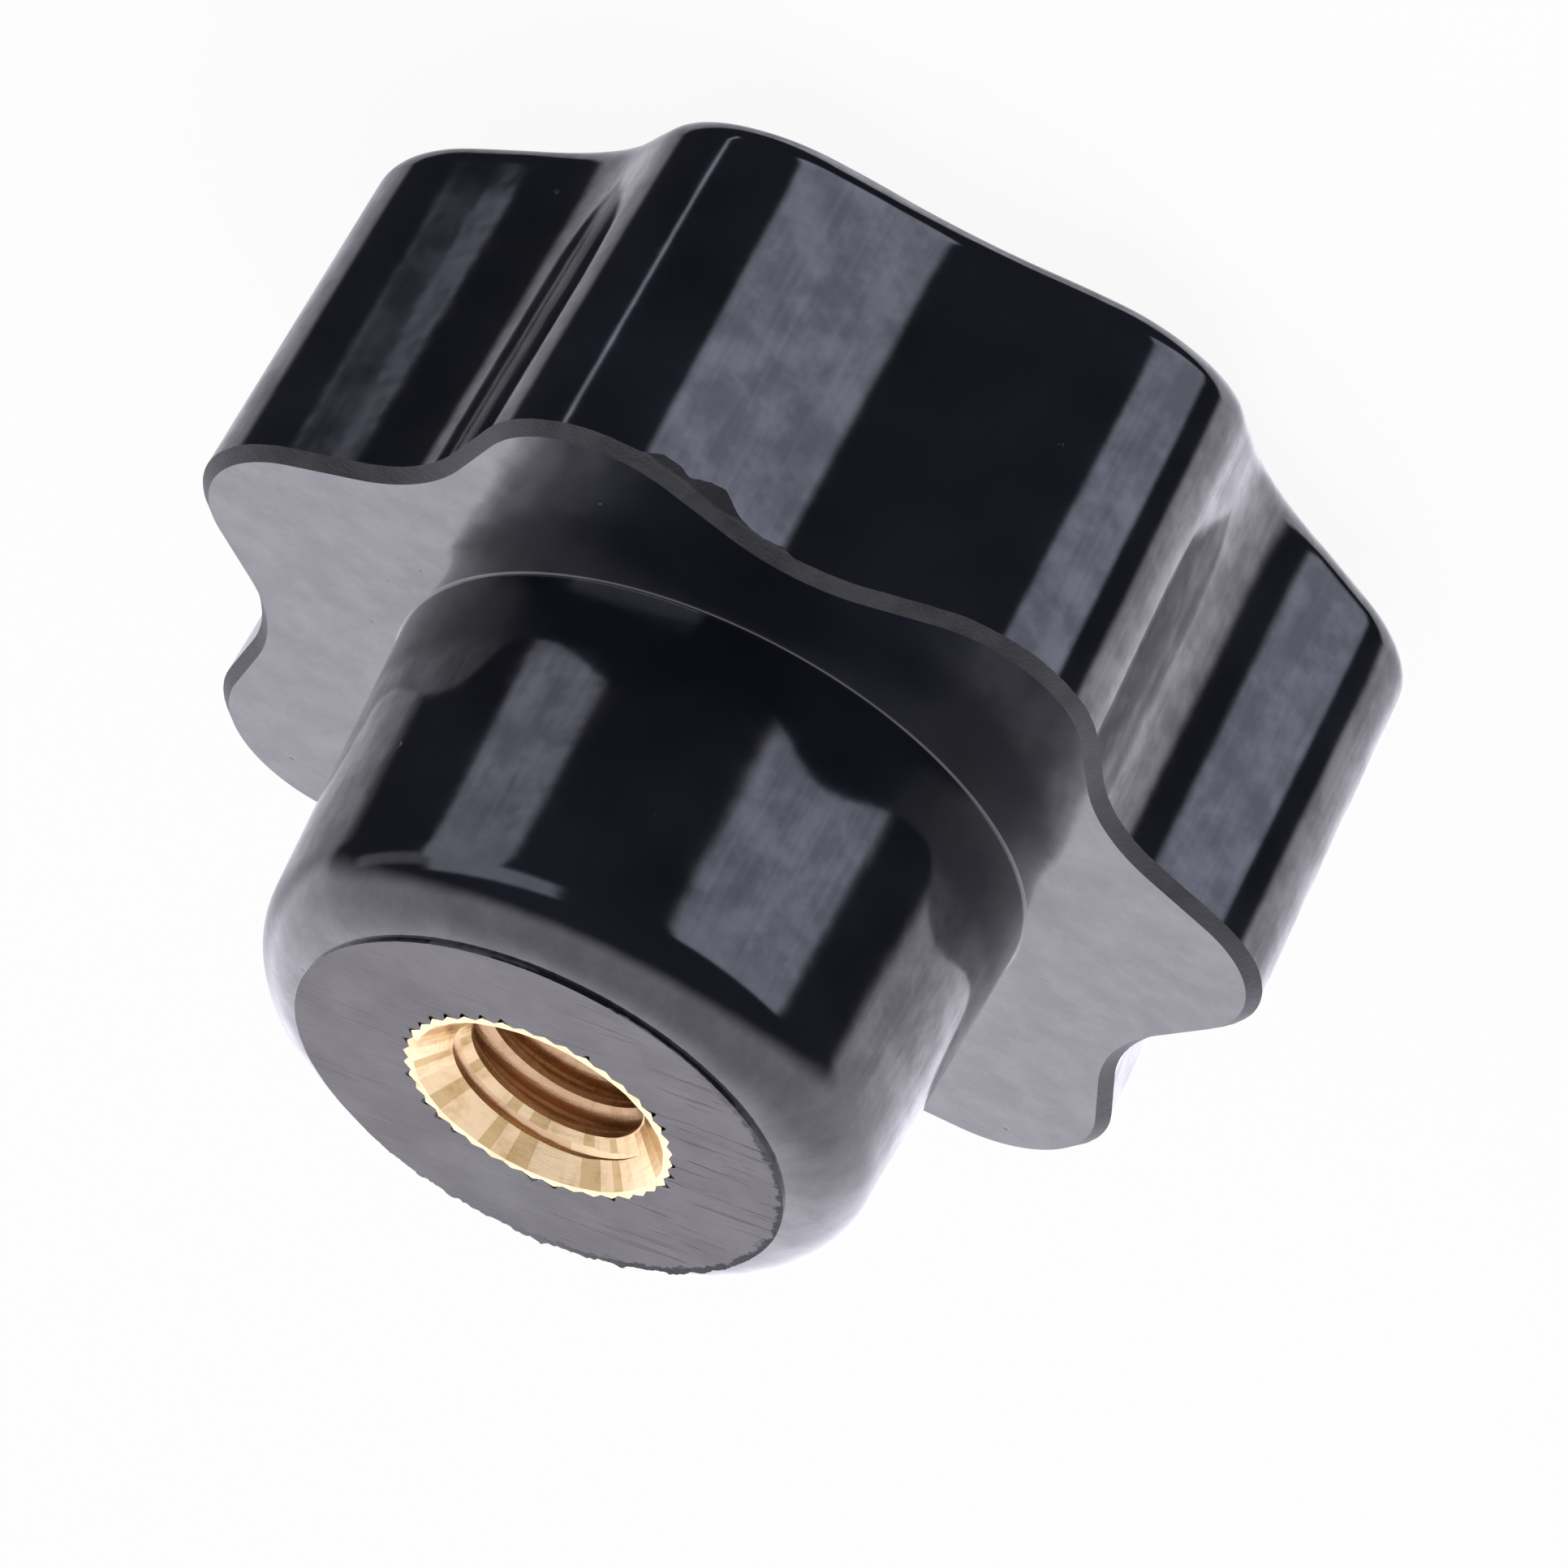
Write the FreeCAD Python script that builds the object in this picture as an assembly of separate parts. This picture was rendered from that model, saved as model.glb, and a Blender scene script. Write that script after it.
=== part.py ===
"""Star knob with seven lobes and a moulded-in brass threaded insert.

Millimetres. The knob stands on its crown. The origin is the crown's lowest point, on the knob's axis,
and +Z runs up that axis and out of the insert's mouth.
"""
import FreeCAD, Part
import math
import os

Vector = FreeCAD.Vector

# The head: a seven-lobed star with finger valleys, drafted towards its domed crown
LOBES = 7
HEAD_DIAMETER = 32.0
VALLEY_DEPTH = 2.64
TIP_ROUND = 3.86
VALLEY_ROUND = 4.97
HEAD_SIDE_HEIGHT = 10.8
CROWN_RADIUS = 49.0
CROWN_EDGE_ROUND = 1.0
BEVEL = 0.33
MOULD_DRAFT = 2.3

# The boss: a drafted stub with a rounded end, on which a low land was sanded flat after moulding
BOSS_BASE_DIAMETER = 18.46
BOSS_HEIGHT = 10.7
BOSS_END_ROUND = 2.1
LAND_DIAMETER = 14.24
LAND_HEIGHT = 0.12
ROOT_CHAMFER = 0.12

# The brass insert: a blind bush with two straight-knurled bands and a retaining groove between them
INSERT_DIAMETER = 8.0
INSERT_LENGTH = 12.0
KNURL_TEETH = 40
KNURL_DEPTH = 0.27
GROOVE_DIAMETER = 6.9
GROOVE_WIDTH = 2.0
GROOVE_FROM_MOUTH = 4.6
PILOT_DIAMETER = 7.3
PILOT_LENGTH = 0.6
TAPPING_DIAMETER = 5.0
TAPPED_DEPTH = 9.5
DRILL_POINT_ANGLE = 118.0
COUNTERSINK_DIAMETER = 7.3
COUNTERSINK_ANGLE = 90.0

# Worked out from the sizes above
tip_radius = HEAD_DIAMETER / 2
valley_radius = tip_radius - VALLEY_DEPTH
crown_rise = CROWN_RADIUS - math.sqrt(CROWN_RADIUS ** 2 - tip_radius ** 2)
head_face_z = crown_rise + HEAD_SIDE_HEIGHT
end_face_z = head_face_z + BOSS_HEIGHT
draft = math.radians(MOULD_DRAFT)
lobe_pitch = 2 * math.pi / LOBES
# An eighth of a pitch centres the star's box on the axis as closely in X as in Y
star_turn = lobe_pitch / 8
# How far a cutting or joining solid runs past the surface that it meets
overrun = 1.0
# The least straight flank that stays between a tip's arc and a valley's arc
least_flank = 0.3


def polar(radius, angle, z=0.0):
    """The point at a radius and an angle about the axis, at a height."""
    return Vector(radius * math.cos(angle), radius * math.sin(angle), z)


def arc(centre, radius, start, end):
    """An edge along a horizontal circle, from one angle to another."""
    through = [centre + polar(radius, angle) for angle in (start, (start + end) / 2, end)]
    return Part.Arc(*through).toShape()


def fitting_valley_round():
    """The valleys' round, or the widest one that leaves a flank between it and the lobe tips."""
    tip_centre = polar(tip_radius - TIP_ROUND, 0)
    deepest = polar(valley_radius, lobe_pitch / 2)
    facing = polar(1, lobe_pitch / 2)
    below_tips = TIP_ROUND - (deepest - tip_centre).dot(facing)
    if below_tips <= 0:
        return VALLEY_ROUND
    beside_tip = (deepest - tip_centre).Length ** 2 - TIP_ROUND ** 2 - least_flank ** 2
    return min(VALLEY_ROUND, beside_tip / (2 * below_tips))


def star_outline(inset, z):
    """The star as a closed wire at a height: lobe tips and valleys as arcs, joined by tangent lines.

    inset moves the whole outline towards the axis, which turns each arc about the same centre.
    """
    valley_round = fitting_valley_round()
    tip_centre_radius = tip_radius - TIP_ROUND
    valley_centre_radius = valley_radius + valley_round
    tip_centre = polar(tip_centre_radius, 0)
    valley_centre = polar(valley_centre_radius, lobe_pitch / 2)
    across = valley_centre - tip_centre
    # A line that touches both circles stands square to their radii at this angle
    lean = math.acos((TIP_ROUND + valley_round) / across.Length)
    half_tip = math.atan2(across.y, across.x) - lean
    half_valley = half_tip - lobe_pitch / 2
    edges = []
    for lobe in range(LOBES):
        middle = star_turn + lobe * lobe_pitch
        tip = arc(polar(tip_centre_radius, middle, z), TIP_ROUND - inset, middle - half_tip, middle + half_tip)
        between = middle + lobe_pitch / 2
        facing_in = between + math.pi
        valley = arc(polar(valley_centre_radius, between, z), valley_round + inset,
                     facing_in + half_valley, facing_in - half_valley)
        if edges:
            edges.append(Part.LineSegment(last_point(edges[-1]), first_point(tip)).toShape())
        edges.append(tip)
        edges.append(Part.LineSegment(last_point(tip), first_point(valley)).toShape())
        edges.append(valley)
    edges.append(Part.LineSegment(last_point(edges[-1]), first_point(edges[0])).toShape())
    return Part.Wire(edges)


def first_point(edge):
    return edge.valueAt(edge.FirstParameter)


def last_point(edge):
    return edge.valueAt(edge.LastParameter)


def star_solid(inset_low, z_low, inset_high, z_high):
    """A solid between two star outlines, with straight sides."""
    return Part.makeLoft([star_outline(inset_low, z_low), star_outline(inset_high, z_high)], True, True)


def head():
    """The star: drafted sides, a ground bevel next to its flat face, and a domed crown with a round edge."""
    widest_z = head_face_z - BEVEL
    lowest_z = -overrun
    drafted = star_solid((widest_z - lowest_z) * math.tan(draft), lowest_z, 0, widest_z)
    bevelled = star_solid(0, widest_z, BEVEL, head_face_z)
    # The ball's poles lie sideways, so that the crown is a plain patch of it
    dome = Part.makeSphere(CROWN_RADIUS, Vector(0, 0, CROWN_RADIUS), Vector(1, 0, 0))
    return round_crown_edge(drafted.fuse(bevelled).common(dome))


def round_crown_edge(star):
    """The crown's edge as three flats that touch its round: one across the corner, and one each side of it."""
    corner = math.pi / 2
    crown = [face for face in star.Faces if isinstance(face.Surface, Part.Sphere)]
    cut = star.makeChamfer(flat_leg(corner), rim_edges(crown))
    flats = [face for face in cut.Faces if isinstance(face.Surface, Part.BSplineSurface)]
    return cut.makeChamfer(flat_leg(corner / 2), rim_edges(flats))


def flat_leg(turn):
    """How far back from a corner of this turn a flat starts, where it touches the crown edge's round."""
    return CROWN_EDGE_ROUND * (math.tan(turn / 2) - math.tan(turn / 4))


def rim_edges(faces):
    """The edges round a group of faces, which are those that only one of them has."""
    edges = [edge for face in faces for edge in face.Edges]
    return [edge for edge in edges if sum(edge.isSame(other) for other in edges) == 1]


def turned(profile):
    """The solid that a closed profile of edges in the XZ plane makes when it turns about the axis."""
    face = Part.Face(Part.Wire(profile))
    return face.revolve(Vector(0, 0, 0), Vector(0, 0, 1), 360)


def lines(points):
    """Straight edges through (radius, height) points."""
    corners = [Vector(radius, 0, z) for radius, z in points]
    return [Part.LineSegment(a, b).toShape() for a, b in zip(corners, corners[1:])]


def boss():
    """The boss, from inside the head up to the land on its rounded end."""
    base_radius = BOSS_BASE_DIAMETER / 2
    shoulder_top = end_face_z - LAND_HEIGHT
    round_centre_z = shoulder_top - BOSS_END_ROUND
    side_at_centre = base_radius - (round_centre_z - head_face_z) * math.tan(draft)
    round_centre = Vector(side_at_centre - BOSS_END_ROUND / math.cos(draft), 0, round_centre_z)

    def on_round(angle):
        return round_centre + Vector(BOSS_END_ROUND * math.cos(angle), 0, BOSS_END_ROUND * math.sin(angle))

    side_top = on_round(draft)
    crest = on_round(math.pi / 2)
    inside_z = head_face_z - overrun
    inside_radius = base_radius + overrun * math.tan(draft)
    shoulder = Part.Arc(side_top, on_round((draft + math.pi / 2) / 2), crest).toShape()
    side = lines([(0, shoulder_top), (0, inside_z), (inside_radius, inside_z), (side_top.x, side_top.z)])
    stub = turned(side + [shoulder] + lines([(crest.x, crest.z), (0, shoulder_top)]))
    return stub.fuse(cylinder(LAND_DIAMETER, head_face_z, end_face_z))


def cylinder(diameter, low, high):
    return Part.makeCylinder(diameter / 2, high - low, Vector(0, 0, low))


def knurled_band(low, high):
    """A bar between two heights whose outside is a ring of straight pointed teeth."""
    tip = INSERT_DIAMETER / 2
    teeth = []
    for step in range(2 * KNURL_TEETH + 1):
        radius = tip if step % 2 == 0 else tip - KNURL_DEPTH
        teeth.append(polar(radius, step * math.pi / KNURL_TEETH, low))
    return Part.Face(Part.makePolygon(teeth)).extrude(Vector(0, 0, high - low))


def insert_outside():
    """The insert without its hole: two knurled bands on a turned core, with a pilot at the inner end."""
    inner_end_z = end_face_z - INSERT_LENGTH
    pilot_top = inner_end_z + PILOT_LENGTH
    groove_top = end_face_z - GROOVE_FROM_MOUTH
    groove_bottom = groove_top - GROOVE_WIDTH
    pilot = cylinder(PILOT_DIAMETER, inner_end_z, pilot_top)
    core = cylinder(GROOVE_DIAMETER, inner_end_z, end_face_z)
    bands = [knurled_band(pilot_top, groove_bottom), knurled_band(groove_top, end_face_z)]
    return pilot.fuse([core] + bands).removeSplitter()


def tapped_hole():
    """What the drill and the countersink take out of the insert, up to the mouth and past it."""
    bore = TAPPING_DIAMETER / 2
    sink = COUNTERSINK_DIAMETER / 2
    sink_slope = math.tan(math.radians(COUNTERSINK_ANGLE / 2))
    bore_top = end_face_z - (sink - bore) / sink_slope
    bore_bottom = end_face_z - TAPPED_DEPTH
    point = bore_bottom - bore / math.tan(math.radians(DRILL_POINT_ANGLE / 2))
    above = end_face_z + overrun
    return turned(lines([(0, point), (bore, bore_bottom), (bore, bore_top), (sink, end_face_z),
                         (sink, above), (0, above), (0, point)]))


def threaded_insert():
    return insert_outside().cut(tapped_hole())


def knob_body():
    """Head and boss as one moulding. It is moulded round the insert, so its cavity is the insert's outside."""
    moulding = head().fuse(boss()).removeSplitter()
    root_circle = [edge for edge in moulding.Edges if is_boss_root(edge)]
    return moulding.makeChamfer(ROOT_CHAMFER, root_circle).cut(insert_outside())


def is_boss_root(edge):
    """Whether an edge is the circle where the boss leaves the head's flat face."""
    if not isinstance(edge.Curve, Part.Circle):
        return False
    on_face = abs(edge.Curve.Center.z - head_face_z) < 1e-6
    return on_face and abs(edge.Curve.Radius - BOSS_BASE_DIAMETER / 2) < 1e-6


def main():
    os.makedirs("parts", exist_ok=True)
    nodes = {"knob_body": knob_body(), "threaded_insert": threaded_insert()}
    for name, shape in nodes.items():
        shape.exportStep(f"parts/{name}.step")
        print(name, "solids", len(shape.Solids), "valid", shape.isValid(), "volume", round(shape.Volume, 3))


main()
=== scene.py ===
"""A black moulded star knob with a brass threaded insert, standing on its crown in a small studio."""
import math
import random

import bmesh
import bpy
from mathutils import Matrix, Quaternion, Vector, noise


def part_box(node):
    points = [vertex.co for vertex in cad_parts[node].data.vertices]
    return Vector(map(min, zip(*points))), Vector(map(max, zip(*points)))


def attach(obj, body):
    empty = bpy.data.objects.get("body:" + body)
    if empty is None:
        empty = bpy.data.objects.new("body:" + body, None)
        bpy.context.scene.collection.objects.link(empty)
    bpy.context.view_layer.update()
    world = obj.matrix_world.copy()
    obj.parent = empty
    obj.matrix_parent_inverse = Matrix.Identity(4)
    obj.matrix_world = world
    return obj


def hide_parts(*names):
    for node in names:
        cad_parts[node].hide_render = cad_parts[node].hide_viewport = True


bl_info = {
    "name": "Star knob",
    "version": (1, 0, 0),
    "blender": (4, 5, 0),
    "location": "View3D > Sidebar > Star knob",
    "description": "Builds a moulded star knob, its threaded insert and the studio round them",
    "category": "Add Mesh",
}

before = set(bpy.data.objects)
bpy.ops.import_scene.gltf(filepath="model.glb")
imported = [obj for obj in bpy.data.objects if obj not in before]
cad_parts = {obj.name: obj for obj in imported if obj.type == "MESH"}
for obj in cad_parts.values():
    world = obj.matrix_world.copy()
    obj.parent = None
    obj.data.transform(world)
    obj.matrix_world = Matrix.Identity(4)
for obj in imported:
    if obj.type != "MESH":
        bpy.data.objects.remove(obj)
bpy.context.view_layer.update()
_, BODY_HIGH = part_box("knob_body")
INSERT_LOW, INSERT_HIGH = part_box("threaded_insert")

MM = 0.001
LOBES = 7
TEETH = 40
# Stations are the places round the axis at which every ring of the moulding and the insert has a point
STATIONS = 560
LOBE_STATIONS = STATIONS // LOBES
TOOTH_STATIONS = STATIONS // TEETH
# The station at which the first lobe's tip lies, an eighth of a lobe from the X axis
FIRST_TIP = LOBE_STATIONS // 8
# How a half lobe's stations are shared out between its tip, its straight flank and its valley
TIP_STEPS, FLANK_STEPS, VALLEY_STEPS = 16, 14, 10
# How many points the drilled hole and the thread have round the axis
BORE_STEPS = 96
# Faces that meet at less than this many degrees are shaded as one smooth surface
SMOOTH_ANGLE = 28

# Small pits in the head's flat face: X, Y and radius in millimetres
FACE_PITS = ((9.80, 2.07, 0.05), (9.47, 3.35, 0.07), (10.26, 0.95, 0.04), (10.02, -0.56, 0.05),
             (10.4, 1.6, 0.03), (-9.9, -2.4, 0.04))
# The worst chip in the head's edge: at each X in millimetres, its share of its full depth
CHIP_EDGE = ((4.6, 0.0), (5.0, 0.22), (5.4, 0.1), (5.85, 0.07), (6.37, 0.26), (6.75, 0.66), (7.08, 1.0),
             (7.6, 0.72), (8.12, 0.34), (8.7, 0.56), (9.15, 0.4), (9.6, 0.0))
# It lies beyond this Y in millimetres
CHIP_SIDE = -11.5
# The part of the land's rim that carries the ragged burr, as angles about the axis
BURR_START, BURR_END = math.radians(70), math.radians(178)
# The burr's lip, ring by ring: the height below the end in millimetres, and the share of the burr's reach
BURR_LIP = ((0.11, 0.3), (0.066, 1.0), (0.0, 0.9))
# How many flats the chattering countersink left, and the share of them that is duller than the others
SINK_FLATS, DULL_FLATS = 44, 0.33
# The insert's finishes: each one's name, the tint on its brass and how metallic it is
BRASS_FINISHES = (("insert_brass", (1.0, 1.0, 1.0), 1.0), ("chattered_brass", (0.72, 0.68, 0.56), 1.0),
                  ("threaded_brass", (0.86, 0.77, 0.77), 0.95))
# The pits' colour, a painted shade, and the colour where the land's rim is torn
PIT_SHADE_COLOUR = (0.004, 0.004, 0.005, 1.0)
TORN_COLOUR = (0.004, 0.004, 0.006, 1.0)
# The direction of the scratches in the sanded end
SANDING = math.radians(-33.5)
# The point that the camera looks at, in millimetres
TARGET = (-0.877, -2.994, 13.608)


def length(name, size, description):
    """A length that a user can change, given in millimetres."""
    return bpy.props.FloatProperty(name=name, description=description, default=size * MM, min=0.0,
                                   unit="LENGTH", subtype="DISTANCE", precision=5)


def colour(name, red, green, blue, description):
    """A colour that a user can change, as linear values."""
    return bpy.props.FloatVectorProperty(name=name, description=description, size=4, subtype="COLOR",
                                         default=(red, green, blue, 1.0), min=0.0, max=1.0)


def degrees(name, angle, description):
    """An angle that a user can change, given in degrees."""
    return bpy.props.FloatProperty(name=name, description=description, default=math.radians(angle),
                                   unit="ROTATION", subtype="ANGLE")


def group(kind, name, description):
    """A group of properties."""
    return bpy.props.PointerProperty(type=kind, name=name, description=description)


class MouldingSizes(bpy.types.PropertyGroup):
    """Sizes of the black moulding."""

    head_diameter: length("Head", 32.0, "Across the lobe tips, at the widest height")
    valley_depth: length("Valley depth", 2.64, "How far a finger valley lies inside the lobe tips")
    tip_round: length("Tip round", 3.86, "Radius of a lobe's tip")
    valley_round: length("Valley round", 4.97, "Radius of a finger valley")
    head_side_height: length("Side height", 10.8, "From a lobe tip's crown edge to the head's flat face")
    crown_radius: length("Crown", 49.0, "Radius of the domed crown")
    crown_edge_round: length("Crown edge", 1.0, "Radius of the round along the crown's edge")
    bevel: length("Bevel", 0.33, "Width and height of the ground bevel next to the flat face")
    boss_base_diameter: length("Boss", 18.46, "Across the boss where it leaves the flat face")
    boss_end_round: length("Boss end round", 2.1, "Radius of the round at the boss's end")
    land_diameter: length("Land", 14.24, "Across the sanded land on the boss's end")
    land_height: length("Land height", 0.12, "How far the land stands above the boss's end")
    root_fillet: length("Root fillet", 0.1, "Radius of the fillet where the boss meets the flat face")
    draft: degrees("Draft", 2.3, "Slope of the moulded sides")
    chip_depth: length("Chip", 0.58, "How far the worst chip reaches down from the bevel")
    burr: length("Burr", 0.17, "How far the ragged burr sticks out of the land's rim")


class InsertSizes(bpy.types.PropertyGroup):
    """Sizes of the brass insert."""

    knurl_depth: length("Knurl depth", 0.27, "Depth of the straight teeth")
    groove_diameter: length("Groove", 6.9, "Across the bottom of the retaining groove")
    groove_width: length("Groove width", 2.0, "Height of the retaining groove")
    groove_from_mouth: length("Groove place", 4.6, "From the mouth to the retaining groove")
    pilot_diameter: length("Pilot", 7.3, "Across the plain inner end")
    pilot_length: length("Pilot length", 0.6, "Height of the plain inner end")
    thread_diameter: length("Thread", 6.1, "Across the thread's roots")
    pitch: length("Pitch", 1.0, "Rise of the thread in one turn")
    drill_diameter: length("Drill", 5.2, "Across the hole before it is tapped")
    drilled_depth: length("Drilled depth", 9.5, "Depth of the hole, without the drill's point")
    sink_diameter: length("Countersink", 7.3, "Across the countersink at the mouth")


class KnobColours(bpy.types.PropertyGroup):
    """Colours of the knob's surfaces."""

    moulding: colour("Moulding", 0.0083, 0.0094, 0.0148, "Glossy black of the moulding")
    ground: colour("Ground bevel", 0.030, 0.030, 0.036, "Matte grey of the bevel and the chips")
    sanded: colour("Sanded end", 0.140, 0.134, 0.146, "Matte grey of the boss's sanded end")
    brass: colour("Brass", 0.90, 0.69, 0.41, "Bright brass of the insert")
    floor: colour("Floor", 0.90, 0.90, 0.90, "Pale floor")


class StudioSizes(bpy.types.PropertyGroup):
    """The floor and the camera's place."""

    floor_width: length("Floor", 4000.0, "Width of the floor")
    azimuth: degrees("Azimuth", 16.427, "Direction of the camera round the knob, from the -Y side")
    elevation: degrees("Elevation", 27.278, "Height of the camera above the horizon")
    roll: degrees("Roll", -151.863, "Turn of the camera about its own line of sight")
    distance: length("Distance", 605.4, "From the camera to the point that it looks at")
    lens: bpy.props.FloatProperty(name="Lens", description="Focal length for a 36 mm wide sensor",
                                  default=524.174, unit="CAMERA", subtype="DISTANCE_CAMERA")


class StarKnob(bpy.types.PropertyGroup):
    """Everything that a user can change on the star knob and its studio."""

    moulding: group(MouldingSizes, "Moulding", "Sizes of the moulding")
    insert: group(InsertSizes, "Insert", "Sizes of the insert")
    colours: group(KnobColours, "Colours", "Colours of the surfaces")
    studio: group(StudioSizes, "Studio", "Floor and camera")


class Value:
    """One output of a node. Python's signs on it add Math nodes, so that masks read as expressions."""

    def __init__(self, nodes, socket):
        self.nodes = nodes
        self.socket = socket

    def math(self, operation, *others):
        """The result of a Math node for this value and others."""
        return self.nodes.add("ShaderNodeMath", {"operation": operation}, dict(enumerate((self, *others))))

    def __add__(self, other):
        return self.math("ADD", other)

    def __sub__(self, other):
        return self.math("SUBTRACT", other)

    def __rsub__(self, other):
        return self.nodes.add("ShaderNodeMath", {"operation": "SUBTRACT"}, {0: other, 1: self})

    def __mul__(self, other):
        return self.math("MULTIPLY", other)

    def __truediv__(self, other):
        return self.math("DIVIDE", other)

    __radd__ = __add__
    __rmul__ = __mul__

    def step(self, start, end):
        """0 below start and 1 above end, with a smooth rise between them."""
        return self.nodes.add("ShaderNodeMapRange", {"interpolation_type": "SMOOTHSTEP"},
                              {"Value": self, "From Min": start, "From Max": end})


class Nodes:
    """Adds nodes to one material's or world's tree."""

    def __init__(self, owner):
        owner.use_nodes = True
        self.tree = owner.node_tree
        self.tree.nodes.clear()

    def add(self, kind, settings=None, sockets=None, output=0):
        """A node of a type, with its settings set first, and then the values or links of its sockets."""
        node = self.tree.nodes.new(kind)
        for name, setting in (settings or {}).items():
            setattr(node, name, setting)
        for name, given in (sockets or {}).items():
            if isinstance(given, Value):
                self.tree.links.new(given.socket, node.inputs[name])
            else:
                node.inputs[name].default_value = given
        return Value(self, node.outputs[output]) if node.outputs else node

    def mix(self, factor, first, second):
        """Between two colours."""
        return self.add("ShaderNodeMix", {"data_type": "RGBA"}, {0: factor, 6: first, 7: second}, 2)

    def place(self):
        """The point in the object's own coordinates."""
        return self.add("ShaderNodeTexCoord", output="Object")

    def stretched(self, scale, turn=0.0):
        """The object's coordinates, turned about the axis and scaled."""
        rotated = self.add("ShaderNodeMapping", None, {"Vector": self.place(), "Rotation": (0, 0, turn)})
        return self.add("ShaderNodeMapping", None, {"Vector": rotated, "Scale": scale})

    def measure(self, operation, *vectors):
        """The number that a Vector Math node gives for vectors."""
        return self.add("ShaderNodeVectorMath", {"operation": operation}, dict(enumerate(vectors)), "Value")

    def noise(self, vector, scale, detail=2.0, roughness=0.5):
        """Smooth noise from 0 to 1, with its scale in waves for each metre."""
        return self.add("ShaderNodeTexNoise", None,
                        {"Vector": vector, "Scale": scale, "Detail": detail, "Roughness": roughness})

    def bump(self, height, strength, distance):
        """The surface's normal, tilted by a height."""
        return self.add("ShaderNodeBump", None,
                        {"Height": height, "Strength": strength, "Distance": distance})

    def principled(self, sockets):
        """The material's surface."""
        surface = self.add("ShaderNodeBsdfPrincipled", None, sockets)
        self.add("ShaderNodeOutputMaterial", None, {"Surface": surface})


def scaled(colour_value, factor):
    """A lighter or darker version of a colour."""
    return tuple(min(1.0, part * factor) for part in colour_value[:3]) + (1.0,)


def gloss_material(colours, face_z):
    """Polished black moulding: cloudy gloss, faint marks from drawing it out of the mould, and small pits
    darkened with painted shade.
    """
    material = bpy.data.materials.new("black_moulding")
    nodes = Nodes(material)
    place = nodes.place()
    cloud = nodes.noise(place, 800.0, detail=3.0, roughness=0.62)
    wide_cloud = nodes.noise(place, 230.0, detail=1.0)
    peel = nodes.noise(place, 700.0, roughness=0.6)
    drawn = nodes.noise(nodes.stretched((620.0, 620.0, 18.0)), 1.0, detail=1.0)
    fine_drawn = nodes.noise(nodes.stretched((5000.0, 5000.0, 160.0)), 1.0, detail=1.0, roughness=0.6)
    cells = nodes.add("ShaderNodeTexVoronoi", {"feature": "F1"},
                      {"Vector": place, "Scale": 420.0, "Randomness": 1.0}, "Distance")
    pits = (1 - cells.step(0.012, 0.045)) * wide_cloud.step(0.52, 0.60)
    for x, y, radius in FACE_PITS:
        spot = nodes.measure("DISTANCE", place, (x * MM, y * MM, face_z))
        pits = pits.math("MAXIMUM", 1 - (spot + peel * (0.08 * MM)).step(radius * MM, (radius + 0.05) * MM))
    # In millimetres above the head's flat face
    lift = (nodes.add("ShaderNodeSeparateXYZ", None, {0: place}, "Z") - face_z) / MM
    above_face = lift.step(0.014, 0.114)
    on_face = lift.step(-0.106, -0.026) * (1 - above_face)
    on_head = 1 - lift.step(-0.486, -0.186)
    on_shoulder = lift.step(7.314, 9.114)
    # Duller here, so that what the boss and the head mirror in each other stays dark
    on_root = above_face * (1 - lift.step(1.814, 2.714))
    mottle = cloud.step(0.34, 0.70) * 0.60 + fine_drawn.step(0.35, 0.75) * 0.18 - 0.39
    gloss = 0.5 + on_head * 0.08 + mottle * (1 - on_face * 0.72 - on_shoulder * 0.55)
    darker, lighter = scaled(colours.moulding, 0.8), scaled(colours.moulding, 1.4)
    shade = nodes.mix(wide_cloud.step(0.3, 0.75), darker, lighter)
    relief = peel * 0.7 + drawn * 3.4 - pits * 2.5
    nodes.principled({
        # The pits' darker colour is painted shade in them
        "Base Color": nodes.mix(pits, shade, PIT_SHADE_COLOUR),
        "Roughness": 0.085 + cloud.step(0.35, 0.8) * 0.06 + pits * 0.4,
        "IOR": 1.5,
        "Coat Weight": (gloss + 0.25) * (1 - on_root * 0.92),
        "Coat Roughness": 0.09,
        "Coat IOR": 1.8,
        "Normal": nodes.bump(relief, 0.6, 0.02 * MM),
    })
    return material


def ground_material(colours, widest_z):
    """Matte ground plastic of the bevel, darker where the side is chipped away below it."""
    material = bpy.data.materials.new("ground_bevel")
    nodes = Nodes(material)
    place = nodes.place()
    patch = nodes.noise(place, 700.0, detail=3.0, roughness=0.6)
    grit = nodes.noise(place, 11000.0, roughness=0.7)
    broken = nodes.noise(place, 3500.0, roughness=0.65)
    height = nodes.add("ShaderNodeSeparateXYZ", None, {0: place}, "Z")
    chipped = 1 - (height + broken * (0.08 * MM)).step(widest_z - 0.10 * MM, widest_z + 0.02 * MM)
    shade = nodes.mix(patch.step(0.3, 0.7), scaled(colours.ground, 0.7), scaled(colours.ground, 1.5))
    shade = nodes.mix(chipped * 0.75, shade, scaled(colours.ground, 0.35))
    nodes.principled({
        "Base Color": shade,
        "Roughness": 0.40 + patch * 0.18 + chipped * 0.15,
        "IOR": 1.5,
        "Normal": nodes.bump(grit + patch * 0.5 + broken * chipped * 2.5, 0.6, 0.04 * MM),
    })
    return material


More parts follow.
